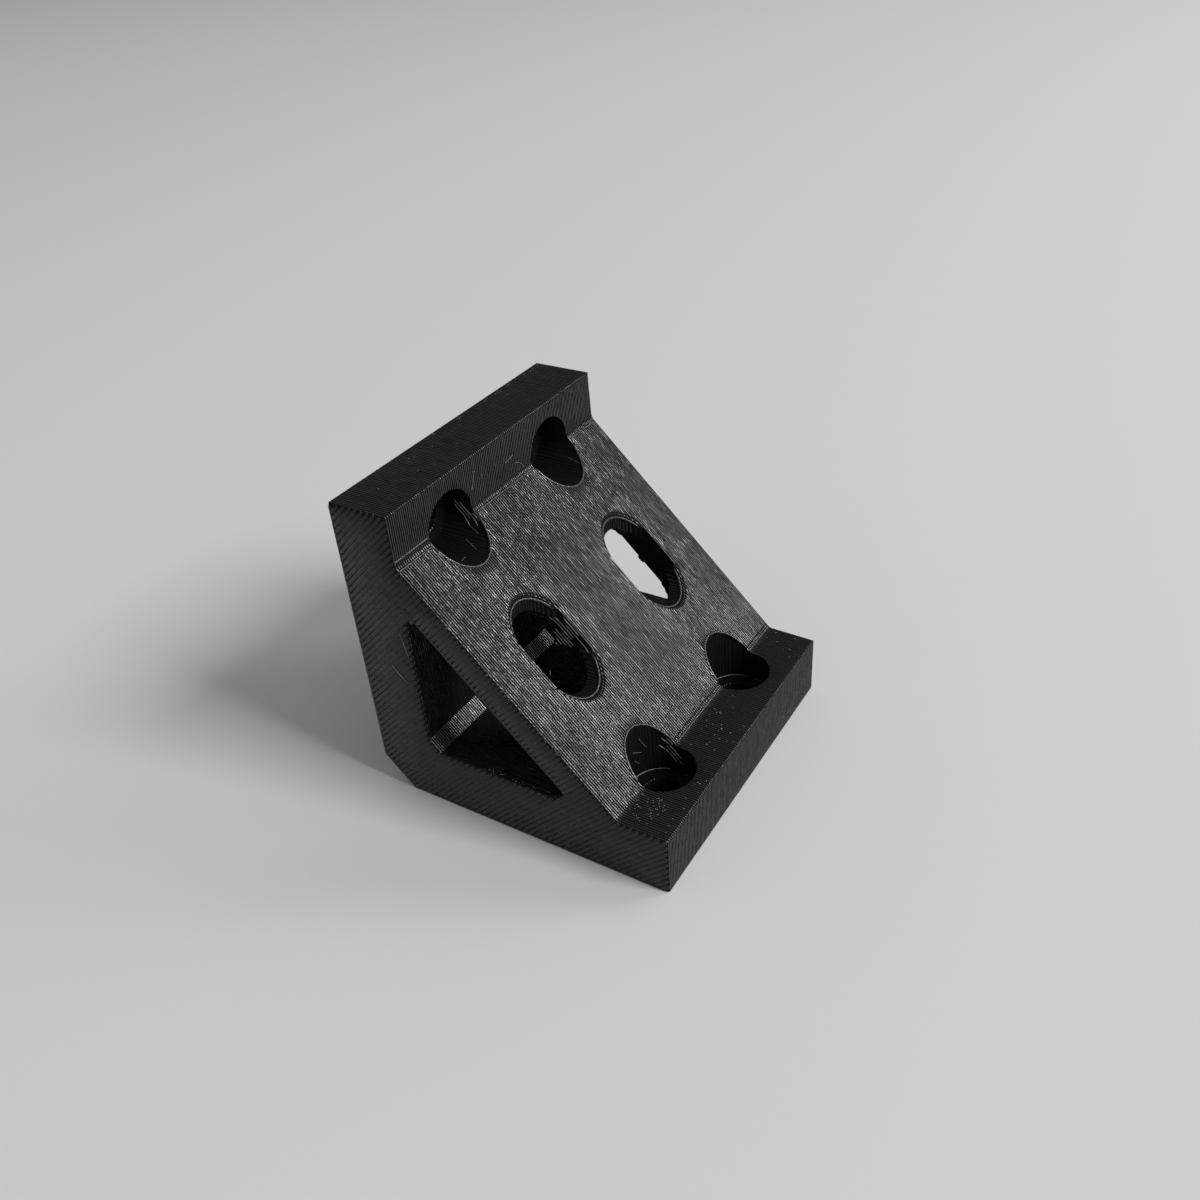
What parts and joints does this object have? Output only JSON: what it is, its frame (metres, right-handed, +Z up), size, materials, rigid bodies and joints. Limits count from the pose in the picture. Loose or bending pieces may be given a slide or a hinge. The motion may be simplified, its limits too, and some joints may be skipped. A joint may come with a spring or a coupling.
{
  "type": "channel corner bracket",
  "caption": "Right-angle bracket with a sloped gusset over an open triangular channel, counterbored bolt holes in both legs and key-access slots through the gusset; printed in black plastic.",
  "frame": {"origin": "centre of the bracket's box at the foot's mounting face", "axes": "+X from the wall leg's mounting face towards the foot's free end, +Y across the width, +Z up the wall leg"},
  "size_m": [0.04, 0.04, 0.04],
  "materials": {
    "printed_plastic": "black filament plastic with satin layer lines"
  },
  "bodies": {
    "root": {"bracket": "printed_plastic"}
  },
  "joints": []
}
